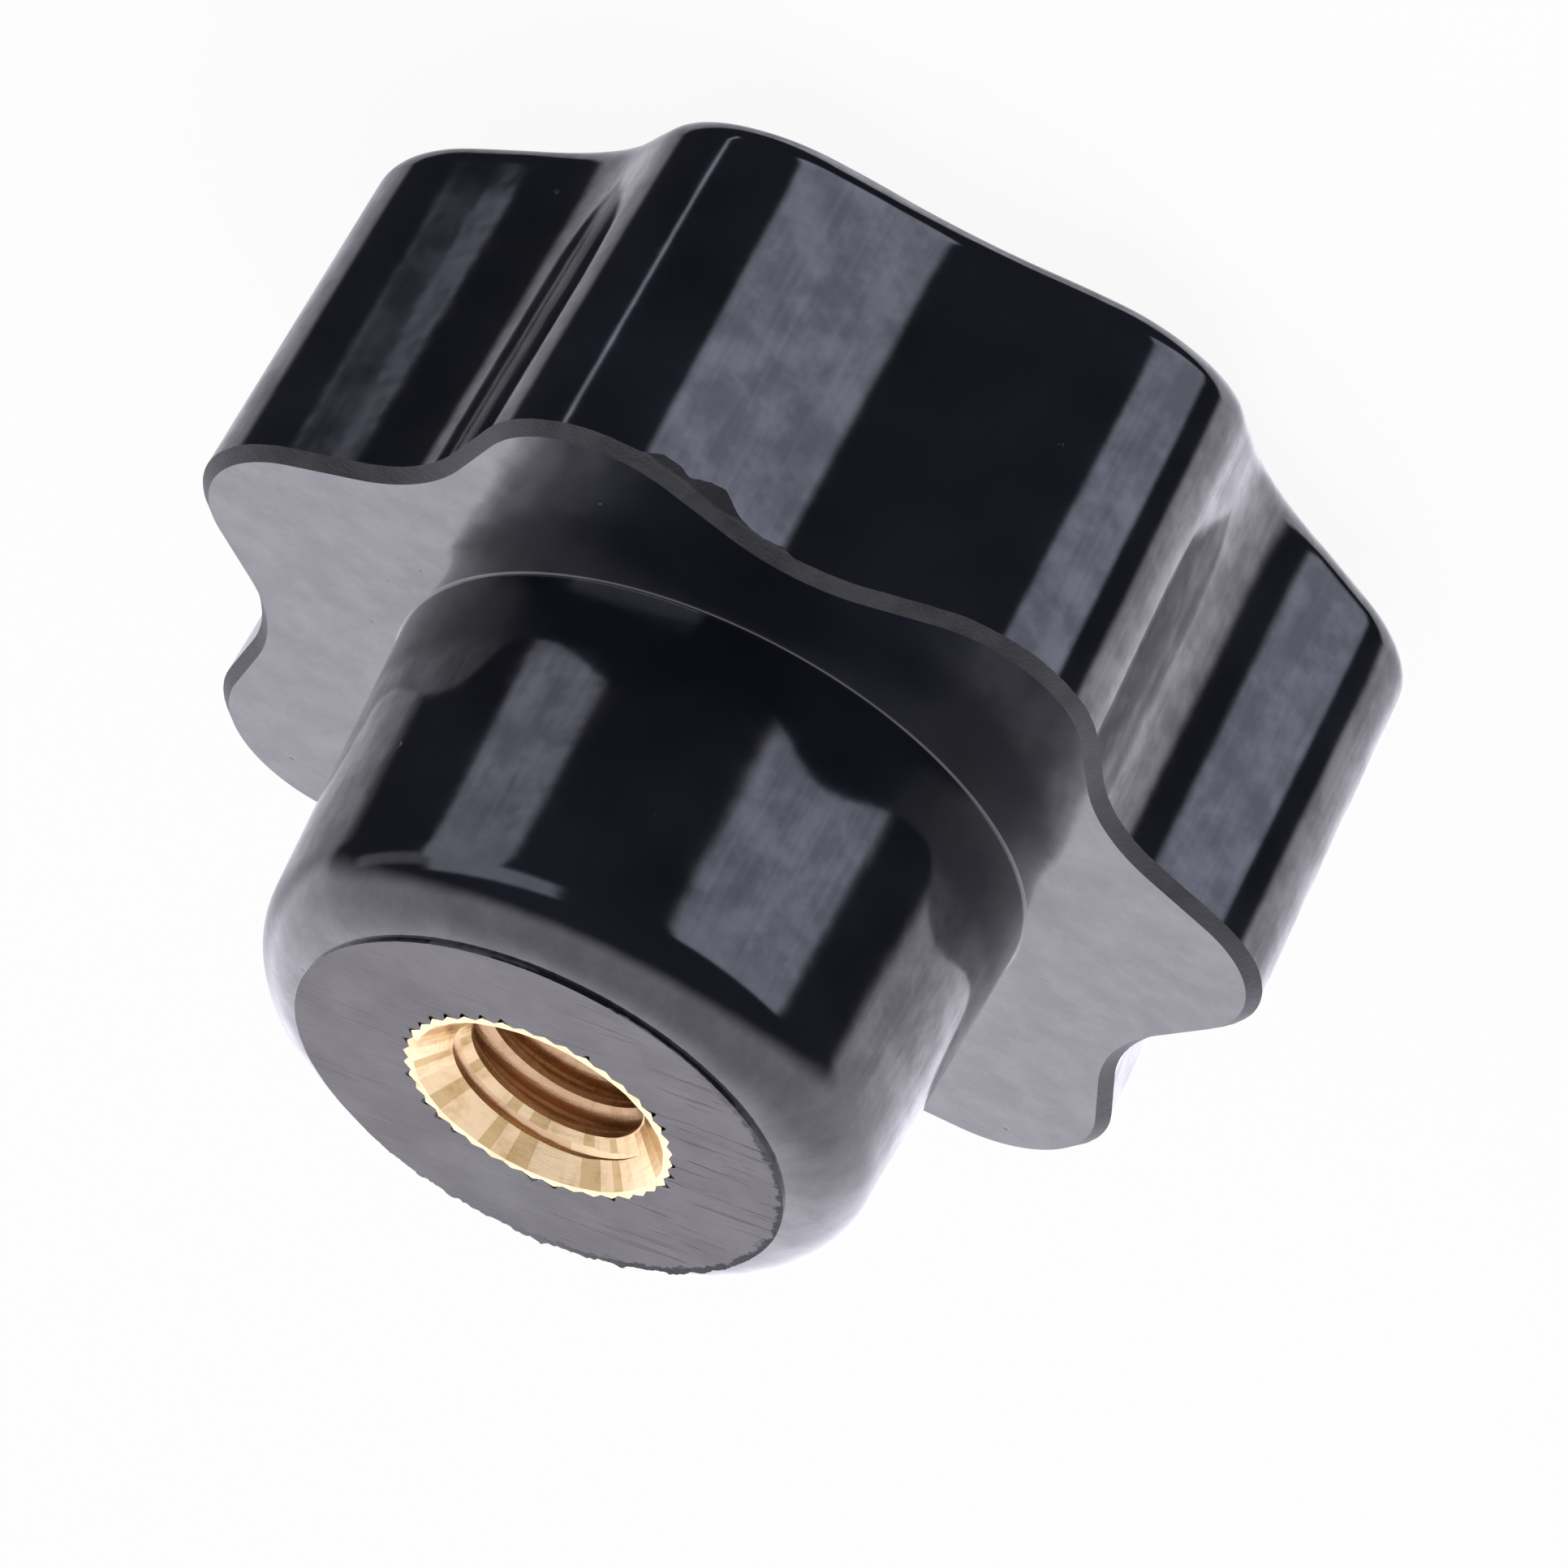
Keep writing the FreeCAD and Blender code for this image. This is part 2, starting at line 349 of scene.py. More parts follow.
def sanded_material(colours):
    """Sanded end of the boss: dull grey, with fine parallel scratches and a torn, dark part of the rim."""
    material = bpy.data.materials.new("sanded_end")
    nodes = Nodes(material)
    place = nodes.place()
    fine = nodes.noise(nodes.stretched((350.0, 9000.0, 1.0), SANDING), 1.0, detail=3.0, roughness=0.6)
    deep = nodes.noise(nodes.stretched((260.0, 3600.0, 1.0), SANDING), 1.0, detail=3.0, roughness=0.6)
    patch = nodes.noise(place, 500.0, detail=3.0, roughness=0.55)
    grit = nodes.noise(place, 16000.0, roughness=0.6)
    torn = nodes.noise(place, 2600.0, detail=4.0, roughness=0.65)
    # In millimetres along the scratches, of which one side of the land shows more
    along = nodes.add("ShaderNodeSeparateXYZ", None, {0: nodes.stretched((1000.0, 1000.0, 1.0), SANDING)})
    scratched = 0.25 + (-1.0 * along).step(0.5, 5.0) * 0.75
    scratches = (1 - deep.step(0.32, 0.44)) * scratched
    # In millimetres, and without its height
    flat_place = nodes.stretched((1000.0, 1000.0, 0.0))
    from_axis = nodes.measure("LENGTH", flat_place)
    torn_side = nodes.measure("DOT_PRODUCT", flat_place, direction(-83, 0))
    rim = (from_axis + torn * 0.8).step(7.30, 7.42) * torn_side.step(1.0, 6.0)
    shade = nodes.mix(patch.step(0.25, 0.75), scaled(colours.sanded, 0.8), scaled(colours.sanded, 1.2))
    shade = nodes.mix(scratches * 0.65, shade, scaled(colours.sanded, 0.3))
    shade = nodes.mix(rim * 0.85, shade, TORN_COLOUR)
    relief = fine * 0.6 + grit * 0.3 + rim * torn * 4.0 - scratches * 1.2
    nodes.principled({
        "Base Color": shade,
        "Roughness": 0.44 + fine * 0.1 + grit * 0.06 + rim * 0.15,
        "IOR": 1.5,
        "Normal": nodes.bump(relief, 0.55, 0.04 * MM),
    })
    return material


def brass_material(colours, name, tint, metallic):
    """Machined brass with turning marks and slightly tarnished patches. A tint multiplies its colour."""
    material = bpy.data.materials.new(name)
    nodes = Nodes(material)
    place = nodes.place()
    patch = nodes.noise(place, 1300.0, detail=4.0, roughness=0.65)
    turned_marks = nodes.noise(nodes.stretched((500.0, 500.0, 14000.0)), 1.0, detail=3.0, roughness=0.6)
    grain = nodes.noise(place, 12000.0, roughness=0.6)
    tarnish = patch.step(0.45, 0.8) * 0.8 + turned_marks.step(0.5, 0.8) * 0.2
    red, green, blue = (part * share for part, share in zip(colours.brass, tint))
    shade = nodes.mix(tarnish, (red, green, blue, 1.0), (red * 0.66, green * 0.54, blue * 0.42, 1.0))
    nodes.principled({
        "Base Color": shade,
        "Metallic": metallic,
        "Roughness": 0.17 + patch * 0.12 + grain * 0.06,
        "Normal": nodes.bump(turned_marks + grain * 0.3 + patch * 1.5, 0.6, 0.01 * MM),
    })
    return material


def star_stations(sizes):
    """For each station, the star's flat outline point at its widest height and its outward direction."""
    pitch = 2 * math.pi / LOBES
    tip_centre = Vector((sizes.head_diameter / 2 - sizes.tip_round, 0.0))
    valley_radius = sizes.head_diameter / 2 - sizes.valley_depth
    valley_centre = (valley_radius + sizes.valley_round) * Vector((math.cos(pitch / 2), math.sin(pitch / 2)))
    across = valley_centre - tip_centre
    lean = math.acos((sizes.tip_round + sizes.valley_round) / across.length)
    half_tip = math.atan2(across.y, across.x) - lean
    half_lobe = []
    for step in range(TIP_STEPS):
        facing = flat(half_tip * step / TIP_STEPS)
        half_lobe.append((tip_centre + sizes.tip_round * facing, facing))
    flank = flat(half_tip)
    flank_start = tip_centre + sizes.tip_round * flank
    flank_end = valley_centre - sizes.valley_round * flank
    for step in range(FLANK_STEPS):
        half_lobe.append((flank_start.lerp(flank_end, step / FLANK_STEPS), flank))
    for step in range(VALLEY_STEPS + 1):
        facing = flat(half_tip + (pitch / 2 - half_tip) * step / VALLEY_STEPS)
        half_lobe.append((valley_centre - sizes.valley_round * facing, facing))
    lobe = half_lobe + [(mirrored(point, pitch / 2), mirrored(facing, pitch / 2))
                        for point, facing in reversed(half_lobe[1:-1])]
    stations = []
    for station in range(STATIONS):
        number, within = divmod(station - FIRST_TIP, LOBE_STATIONS)
        point, facing = lobe[within]
        turn = pitch * (number + FIRST_TIP / LOBE_STATIONS)
        stations.append((turned(point, turn), turned(facing, turn)))
    return stations


def flat(angle):
    """The flat direction at an angle."""
    return Vector((math.cos(angle), math.sin(angle)))


def turned(point, angle):
    """A flat point turned about the axis."""
    along = flat(angle)
    return Vector((point.x * along.x - point.y * along.y, point.x * along.y + point.y * along.x))


def mirrored(point, angle):
    """A flat point mirrored in the line through the axis at an angle."""
    return turned(Vector((point.x, -point.y)), 2 * angle)


def station_angle(station):
    """A station's angle about the axis."""
    return 2 * math.pi * station / STATIONS


def station_point(station, radius, z):
    """A station's point at a radius and a height."""
    return Vector((*(flat(station_angle(station)) * radius), z))


def ring_noise(station, waves, seed):
    """Smooth noise from about -1 to 1 that closes on itself round the axis."""
    return noise.noise(station_point(station, waves, seed))


def tooth_radius(station, tip, depth):
    """How far a pointed knurl tooth or the gap beside it reaches. The teeth differ, as rolled ones do."""
    number, within = divmod(station, TOOTH_STATIONS)
    half = TOOTH_STATIONS / 2
    from_tip = min(within, TOOTH_STATIONS - within) / half
    tooth = number if within <= half else (number + 1) % TEETH
    uneven = random.Random(tooth).uniform(0.0, 0.35)
    return tip - depth * (uneven + (1 - uneven) * from_tip)


def around(radius, z):
    """A placing of stations on a circle."""
    return lambda station: station_point(station, radius, z)


def knurl(tip, depth, z):
    """A placing of stations on the knurl's outline."""
    return lambda station: station_point(station, tooth_radius(station, tip, depth), z)


def between(first, second, share):
    """A placing of stations part of the way from one placing to another."""
    return lambda station: first(station).lerp(second(station), share)


def start_ring(name, place):
    """A new object that is one ring of edges, with each point marked by its station and put in place."""
    bpy.ops.object.select_all(action="DESELECT")
    bpy.ops.mesh.primitive_circle_add(vertices=STATIONS, radius=1.0, location=(0, 0, 0))
    piece = bpy.context.object
    piece.name = piece.data.name = name
    marks = piece.data.attributes.new("station", "INT", "POINT")
    marks.data.foreach_set("value", range(STATIONS))
    bpy.ops.object.mode_set(mode="EDIT")
    bpy.ops.mesh.select_mode(type="EDGE")
    bpy.ops.mesh.select_all(action="SELECT")
    put_selected(place)
    return piece


def put_selected(place):
    """Moves each selected point to its station's place."""
    mesh = bpy.context.edit_object.data
    points = bmesh.from_edit_mesh(mesh)
    mark = points.verts.layers.int["station"]
    for point in points.verts:
        if point.select:
            point.co = place(point[mark])
    bmesh.update_edit_mesh(mesh)


def extrude_ring(place):
    """Extrudes the selected ring of edges and puts the new ring in place."""
    bpy.ops.mesh.extrude_edges_move()
    put_selected(place)


def close_ring(z):
    """Extrudes the selected ring to one point on the axis."""
    extrude_ring(lambda station: Vector((0, 0, z)))
    bpy.ops.mesh.merge(type="CENTER")


def select_open_ring():
    """Selects the open ring of edges of the piece in edit mode."""
    bpy.ops.mesh.select_all(action="DESELECT")
    bpy.ops.mesh.select_non_manifold(extend=False, use_wire=False, use_boundary=True, use_multi_face=False,
                                     use_non_contiguous=False, use_verts=False)


def finish_mesh():
    """Merges doubles, turns the faces outwards and leaves edit mode with smooth faces between sharp edges."""
    bpy.ops.mesh.select_all(action="SELECT")
    bpy.ops.mesh.remove_doubles(threshold=1e-7)
    bpy.ops.mesh.normals_make_consistent(inside=False)
    bpy.ops.object.mode_set(mode="OBJECT")
    bpy.ops.object.shade_smooth_by_angle(angle=math.radians(SMOOTH_ANGLE))


class HeadRings:
    """Placings of stations on the star: its crown, its crown edge's round, its drafted side and its bevel."""

    def __init__(self, sizes, face_z):
        self.sizes = sizes
        self.face_z = face_z
        self.widest_z = face_z - sizes.bevel
        self.outline = star_stations(sizes)
        self.ball = Vector((0, 0, sizes.crown_radius))
        self.contacts = [self.contact(station) for station in range(STATIONS)]

    def side(self, station, z, inset=0.0):
        """A point on the drafted side, or inset from it."""
        point, facing = self.outline[station]
        lost = (self.widest_z - z) * math.tan(self.sizes.draft) + inset
        return Vector((*(point - facing * lost), z))

    def contact(self, station):
        """The centre of the crown edge's round, and the directions to where it meets crown and side."""
        radius = self.sizes.crown_edge_round
        crown = self.sizes.crown_radius
        z = radius
        # Six rounds settle the height at which the crown edge's round touches both
        for _ in range(6):
            centre = self.side(station, z, radius / math.cos(self.sizes.draft))
            z = crown - math.sqrt((crown - radius) ** 2 - centre.xy.length_squared)
        centre.z = z
        facing = self.outline[station][1]
        to_side = Vector((*(facing * math.cos(self.sizes.draft)), -math.sin(self.sizes.draft)))
        return centre, (centre - self.ball).normalized(), to_side

    def crown(self, share):
        """Part of the way from the crown's middle to its edge's round."""
        def place(station):
            centre, to_crown, _ = self.contacts[station]
            flat_point = (centre + to_crown * self.sizes.crown_edge_round).xy * share
            drop = math.sqrt(self.sizes.crown_radius ** 2 - flat_point.length_squared)
            return Vector((*flat_point, self.sizes.crown_radius - drop))
        return place

    def edge(self, share):
        """On the crown edge's round, from the crown to the side."""
        def place(station):
            centre, to_crown, to_side = self.contacts[station]
            return centre + to_crown.slerp(to_side, share) * self.sizes.crown_edge_round
        return place

    def chip(self, station):
        """How far the side is chipped away below the bevel."""
        point = self.outline[station][0] / MM
        broken = chip_share(point.x) if point.y < CHIP_SIDE else 0.0
        ragged = 0.10 * noise.noise(Vector((point.x * 7.3, point.y * 7.3, 5.0)))
        worn = 0.03 * (1 + ring_noise(station, 25.0, 7.0) + ring_noise(station, 90.0, 9.0))
        return (worn + broken + ragged * (broken > 0)) * self.sizes.chip_depth

    def wall(self, share):
        """On the side, from the crown edge's round to the bevel."""
        def place(station):
            centre, _, to_side = self.contacts[station]
            low = (centre + to_side * self.sizes.crown_edge_round).z
            high = self.widest_z - self.chip(station)
            return self.side(station, low + (high - low) * share)
        return place

    def bevelled(self, share):
        """On the ground bevel, hollowed where the edge is chipped."""
        def place(station):
            low = self.wall(1.0)(station)
            high = self.side(station, self.widest_z, self.sizes.bevel)
            high.z = self.face_z
            hollow = self.chip(station) * 0.5 * share * (1 - share) ** 2
            return low.lerp(high, share) - Vector((*(self.outline[station][1] * hollow), 0))
        return place


def chip_share(x):
    """The chip's depth at an X, between the places that are listed."""
    for (start, low), (end, high) in zip(CHIP_EDGE, CHIP_EDGE[1:]):
        if start <= x < end:
            return low + (high - low) * (x - start) / (end - start)
    return 0.0


def hump(along):
    """A smooth hump that is 1 at 0, and 0 beyond 1 either way."""
    return max(0.0, 1 - along * along) ** 2


def burr_reach(station, size):
    """How far the burr sticks out of the land's rim at a station."""
    angle = station_angle(station)
    middle, half = (BURR_START + BURR_END) / 2, (BURR_END - BURR_START) / 2
    ragged = max(0.0, 0.5 + 1.1 * ring_noise(station, 16.0, 1.5) + 0.8 * ring_noise(station, 60.0, 4.5))
    faint = 0.1 * max(0.0, ring_noise(station, 40.0, 2.5) + 0.3 * ring_noise(station, 120.0, 5.5))
    return size * (faint + ragged * hump((angle - middle) / half) ** 0.5)


def rimmed(radius, z, burr, share):
    """A placing of stations on a circle, pushed outwards by a share of the burr."""
    return lambda station: station_point(station, radius + share * burr_reach(station, burr), z)


def dented(place):
    """A placing pushed outwards at some of the tooth tips, where sanding tore small dents into the land."""
    def pushed(station):
        number, within = divmod(station + TOOTH_STATIONS // 2, TOOTH_STATIONS)
        angle = math.remainder(2 * math.pi * number / TEETH, 2 * math.pi)
        # Nearly every tooth has a dent on the +X side, and fewer have one elsewhere
        often = 0.95 if abs(angle) < 0.8 else 0.6 if abs(angle + 2.5) < 0.4 else 0.35
        draw = random.Random(100 + number)
        if draw.random() > often:
            return place(station)
        reach = draw.uniform(0.10, 0.21) * MM * hump((within - TOOTH_STATIONS / 2) / draw.uniform(3.0, 5.5))
        spot = place(station)
        return spot + Vector((*spot.xy.normalized(), 0)) * reach
    return pushed


def hole_rings(insert, end_z, tip, gap):
    """Placings down the insert's outside, with a gap: a knurl, the groove, a knurl and the pilot."""
    low = INSERT_LOW.z - gap
    pilot_top = INSERT_LOW.z + insert.pilot_length
    groove_top = end_z - insert.groove_from_mouth
    groove_bottom = groove_top - insert.groove_width
    groove = insert.groove_diameter / 2 + gap
    pilot = insert.pilot_diameter / 2 + gap
    depth = insert.knurl_depth
    # Sanding has worn the teeth down at the mouth: how much, what is left of their depth, and how far down
    worn, left, worn_height = 0.035 * MM, 0.62, 0.3 * MM
    return [
        knurl(tip - worn, depth * left, end_z),
        knurl(tip, depth, end_z - worn_height),
        knurl(tip, depth, groove_top - gap),
        around(groove, groove_top - gap),
        around(groove, groove_bottom + gap),
        knurl(tip, depth, groove_bottom + gap),
        knurl(tip, depth, pilot_top - gap),
        around(pilot, pilot_top - gap),
        around(pilot, low),
    ]


class STARKNOB_OT_moulding(bpy.types.Operator):
    """Builds the black moulding: the lobed head, the boss and the hollow that the insert fills"""

    bl_idname = "star_knob.moulding"
    bl_label = "Moulding"

    def execute(self, context):
        knob = context.scene.star_knob
        sizes = knob.moulding
        end_z = BODY_HIGH.z
        tip_radius = sizes.head_diameter / 2
        rise = sizes.crown_radius - math.sqrt(sizes.crown_radius ** 2 - tip_radius ** 2)
        face_z = rise + sizes.head_side_height
        head = HeadRings(sizes, face_z)
        crown_rings, edge_rings, wall_rings = 14, 8, 12
        piece = start_ring("moulding", head.crown(1 / crown_rings))
        close_ring(0.0)
        select_open_ring()
        for number in range(2, crown_rings + 1):
            extrude_ring(head.crown(number / crown_rings))
        for number in range(1, edge_rings + 1):
            extrude_ring(head.edge(number / edge_rings))
        for number in range(1, wall_rings + 1):
            # Closer together towards the chipped bevel
            extrude_ring(head.wall(1 - (1 - number / wall_rings) ** 1.5))
        for share in (0.3, 0.65, 1.0):
            extrude_ring(head.bevelled(share))
        self.add_boss(sizes, head, face_z, end_z)
        self.add_end(sizes, knob.insert, end_z)
        finish_mesh()
        self.paint(piece, knob.colours, sizes, face_z, end_z)
        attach(piece, "root")
        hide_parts("knob_body")
        return {"FINISHED"}

    def add_boss(self, sizes, head, face_z, end_z):
        """The flat face, the fillet at the boss's root, the boss's side and the round at its end."""
        slope = math.tan(sizes.draft)
        base = sizes.boss_base_diameter / 2
        fillet = sizes.root_fillet
        fillet_rings, side_rings, round_rings = 4, 6, 14
        root_radius = base + fillet * (1 - slope)
        for share in (0.35, 0.7, 1.0):
            extrude_ring(between(head.bevelled(1.0), around(root_radius, face_z), share))
        for step in range(1, fillet_rings + 1):
            angle = math.pi / 2 * step / fillet_rings
            radius = root_radius - fillet * math.sin(angle)
            extrude_ring(around(radius, face_z + fillet * (1 - math.cos(angle))))
        round_size = sizes.boss_end_round
        round_z = end_z - sizes.land_height - round_size
        round_radius = base - (round_z - face_z) * slope - round_size / math.cos(sizes.draft)
        side_top = round_z + round_size * math.sin(sizes.draft)
        side_low = face_z + fillet
        for step in range(1, side_rings + 1):
            z = side_low + (side_top - side_low) * step / side_rings
            extrude_ring(around(base - (z - face_z) * slope, z))
        last = math.acos((sizes.land_diameter / 2 - round_radius) / round_size)
        for step in range(1, round_rings + 1):
            angle = sizes.draft + (last - sizes.draft) * step / round_rings
            radius = round_radius + round_size * math.cos(angle)
            extrude_ring(around(radius, round_z + round_size * math.sin(angle)))

    def add_end(self, sizes, insert, end_z):
        """The land with its burr, the sanded end and the hollow round the insert."""
        land = sizes.land_diameter / 2
        for drop, share in BURR_LIP:
            extrude_ring(rimmed(land, end_z - drop * MM, sizes.burr, share))
        gap = 0.004 * MM
        hollow = hole_rings(insert, end_z, INSERT_HIGH.x, gap)
        mouth = dented(hollow[0])
        for share in (0.4, 0.85, 1.0):
            extrude_ring(between(around(land, end_z), mouth, share))
        # The dents narrow towards their bottom
        for drop, share in ((0.05, 0.3), (0.12, 1.0)):
            down = Vector((0, 0, drop * MM))
            extrude_ring(lambda station: mouth(station).lerp(hollow[0](station), share) - down)
        for place in hollow[1:]:
            extrude_ring(place)
        close_ring(INSERT_LOW.z - gap)

    def paint(self, piece, colours, sizes, face_z, end_z):
        """Gives the moulding its three finishes, by where each face lies and where it points."""
        widest_z = face_z - sizes.bevel
        gloss, ground, sanded = range(3)
        piece.data.materials.append(gloss_material(colours, face_z))
        piece.data.materials.append(ground_material(colours, widest_z))
        piece.data.materials.append(sanded_material(colours))
        base = sizes.boss_base_diameter / 2
        rim = sizes.land_diameter / 2 + 2 * sizes.burr
        for face in piece.data.polygons:
            middle = face.center
            spread = middle.xy.length
            near_bevel = spread > base and widest_z - 1.0 * MM < middle.z < face_z - 1e-6
            if near_bevel and 0.2 < face.normal.z < 0.995:
                face.material_index = ground
            elif middle.z > end_z - 0.06 * MM and spread < rim and face.normal.z > 0.5:
                face.material_index = sanded
            else:
                face.material_index = gloss


class STARKNOB_OT_insert(bpy.types.Operator):
    """Builds the brass insert: a knurled bush, drilled, countersunk and tapped"""

    bl_idname = "star_knob.insert"
    bl_label = "Insert"

    def execute(self, context):
        knob = context.scene.star_knob
        sizes = knob.insert
        end_z = INSERT_HIGH.z
        rings = hole_rings(sizes, end_z, INSERT_HIGH.x, 0.0)
        piece = start_ring("insert", rings[-1])
        close_ring(INSERT_LOW.z)
        select_open_ring()
        for place in reversed(rings[:-1]):
            extrude_ring(place)
        extrude_ring(around(sizes.drill_diameter / 4, end_z))
        close_ring(end_z)
        finish_mesh()
        for cutter in (self.drill(sizes, end_z), self.sink(sizes, end_z), self.tap(sizes, end_z)):
            cut_away(piece, cutter)
        bpy.ops.object.select_all(action="DESELECT")
        piece.select_set(True)
        bpy.context.view_layer.objects.active = piece
        bpy.ops.object.shade_smooth_by_angle(angle=math.radians(SMOOTH_ANGLE))
        self.paint(piece, knob.colours, end_z)
        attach(piece, "root")
        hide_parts("threaded_insert")
        return {"FINISHED"}

    def paint(self, piece, colours, end_z):
        """Bright brass, a browner thread, and the countersink's flats left flat, with some of them duller."""
        bright, chattered, threaded = range(3)
        piece.data.materials.clear()
        for name, tint, metallic in BRASS_FINISHES:
            piece.data.materials.append(brass_material(colours, name, tint, metallic))
        for face in piece.data.polygons:
            middle = face.center
            inward = -middle.xy.normalized().dot(face.normal.xy)
            on_cone = 0.6 < face.normal.z < 0.8 and inward > 0.55 and middle.z > end_z - 1.3 * MM
            in_bore = middle.z < end_z - 0.8 * MM and middle.xy.length < 3.15 * MM
            if on_cone:
                turns = math.atan2(middle.y, middle.x) / (2 * math.pi)
                number = round(turns * SINK_FLATS - 0.5) % SINK_FLATS
                dull = random.Random(number + 32).random() < DULL_FLATS
                face.use_smooth = False
                face.material_index = chattered if dull else bright
            else:
                face.material_index = threaded if in_bore else bright

    def drill(self, sizes, end_z):
        """A bar with a drill's point of 118 degrees."""
        radius = sizes.drill_diameter / 2
        point = radius / math.tan(math.radians(59))
        above = 1.0 * MM
        bottom = end_z - sizes.drilled_depth
        height = sizes.drilled_depth + above
        bpy.ops.object.select_all(action="DESELECT")
        bpy.ops.mesh.primitive_cylinder_add(vertices=BORE_STEPS, radius=radius, depth=height,
                                            location=(0, 0, bottom + height / 2))
        cutter = bpy.context.object
        bpy.ops.object.transform_apply(location=True, rotation=True, scale=True)
        bpy.ops.object.mode_set(mode="EDIT")
        select_parts(cutter, "FACE", lambda face: face.normal.z < -0.9)
        bpy.ops.mesh.extrude_region_move(TRANSFORM_OT_translate={"value": (0, 0, -point)})
        bpy.ops.mesh.merge(type="CENTER")
        bpy.ops.object.mode_set(mode="OBJECT")
        return cutter

    def sink(self, sizes, end_z):
        """A cone of 90 degrees whose uneven flats leave the marks of a chattering countersink."""
        above = 0.6 * MM
        depth = 1.6 * MM
        top = sizes.sink_diameter / 2 + above
        bpy.ops.object.select_all(action="DESELECT")
        bpy.ops.mesh.primitive_cone_add(vertices=SINK_FLATS, radius1=top - depth, radius2=top, depth=depth,
                                        location=(0, 0, end_z + above - depth / 2))
        cutter = bpy.context.object
        bpy.ops.object.transform_apply(location=True, rotation=True, scale=True)
        draw = random.Random(11)
        # Each corner's turn as a share of a flat, and how far out it lies
        shifts = [(draw.uniform(-0.3, 0.3), draw.uniform(-0.015, 0.015) * MM) for _ in range(SINK_FLATS)]
        for point in cutter.data.vertices:
            angle = math.atan2(point.co.y, point.co.x)
            turn, reach = shifts[round(angle / (2 * math.pi) * SINK_FLATS) % SINK_FLATS]
            point.co.xy = flat(angle + turn * 2 * math.pi / SINK_FLATS) * (point.co.xy.length + reach)
        return cutter

    def tap(self, sizes, end_z):
        """The thread's groove and its core: one pitch of profile, swept up a helix and closed at its ends."""
        pitch = sizes.pitch
        root = sizes.thread_diameter / 2
        core = sizes.drill_diameter / 2 - 0.05 * MM
        # The crests are worn round: this far out, the profile rises at 45 degrees
        crest = 0.28 * MM
        flank_out = root - core - crest
        flank = flank_out * math.tan(math.radians(30))
        root_flat = pitch / 8
        core_flat = pitch - root_flat - 2 * (flank + crest)
        turns, turns_to_mouth = 10, 7
        # The groove comes out of the countersink at this depth, on the side that faces away from the camera
        run_out, away = 0.74 * MM, 106.4 / 360
        low = end_z - run_out - (0.5 + away + turns_to_mouth) * pitch
        bpy.ops.object.select_all(action="DESELECT")
        bpy.ops.mesh.primitive_plane_add(size=pitch, location=(0, 0, 0))
        cutter = bpy.context.object
        bpy.ops.object.mode_set(mode="EDIT")
        bpy.ops.mesh.select_mode(type="VERT")
        bpy.ops.mesh.select_all(action="SELECT")
        bpy.ops.mesh.merge(type="CENTER")
        bpy.ops.transform.translate(value=(core, 0, low))
        for out, up in ((0, core_flat / 2), (crest, crest), (flank_out, flank), (0, root_flat),
                        (-flank_out, flank), (-crest, crest), (0, core_flat / 2)):
            bpy.ops.mesh.extrude_vertices_move(TRANSFORM_OT_translate={"value": (out, 0, up)})
        bpy.ops.object.mode_set(mode="OBJECT")
        sweep = cutter.modifiers.new("sweep", "SCREW")
        sweep.axis = "Z"
        sweep.angle = 2 * math.pi
        sweep.screw_offset = pitch
        sweep.iterations = turns
        sweep.steps = sweep.render_steps = BORE_STEPS
        bpy.ops.object.modifier_apply(modifier="sweep")
        bpy.ops.object.mode_set(mode="EDIT")
        bpy.ops.mesh.select_all(action="SELECT")
        bpy.ops.mesh.remove_doubles(threshold=1e-6)
        middle = low + turns * pitch / 2
        for upper in (False, True):
            # The open rim at this end
            select_parts(cutter, "EDGE",
                         lambda edge: edge.is_boundary and (edge.verts[0].co.z > middle) == upper)
            bpy.ops.mesh.extrude_edges_move()
            bpy.ops.mesh.merge(type="CENTER")
        bpy.ops.mesh.select_all(action="SELECT")
        bpy.ops.mesh.normals_make_consistent(inside=False)
        bpy.ops.object.mode_set(mode="OBJECT")
        return cutter


def select_parts(piece, kind, wanted):
    """Selects the faces or the edges of the piece in edit mode that pass a test."""
    bpy.ops.mesh.select_mode(type=kind)
    bpy.ops.mesh.select_all(action="DESELECT")
    mesh = bmesh.from_edit_mesh(piece.data)
    for part in mesh.faces if kind == "FACE" else mesh.edges:
        part.select_set(wanted(part))
    bmesh.update_edit_mesh(piece.data)


def cut_away(piece, cutter):
    """Takes the cutter's solid out of the piece, and deletes the cutter."""
    cut = piece.modifiers.new("cut", "BOOLEAN")
    cut.operation = "DIFFERENCE"
    cut.solver = "EXACT"
    cut.object = cutter
    bpy.context.view_layer.objects.active = piece
    bpy.ops.object.modifier_apply(modifier="cut")
    bpy.data.objects.remove(cutter)


def direction(azimuth, elevation):
    """The direction at an azimuth and an elevation in degrees. Azimuth 0 is towards -Y, 90 towards +X."""
    turn, lift = math.radians(azimuth), math.radians(elevation)
    return Vector((math.sin(turn) * math.cos(lift), -math.cos(turn) * math.cos(lift), math.sin(lift)))


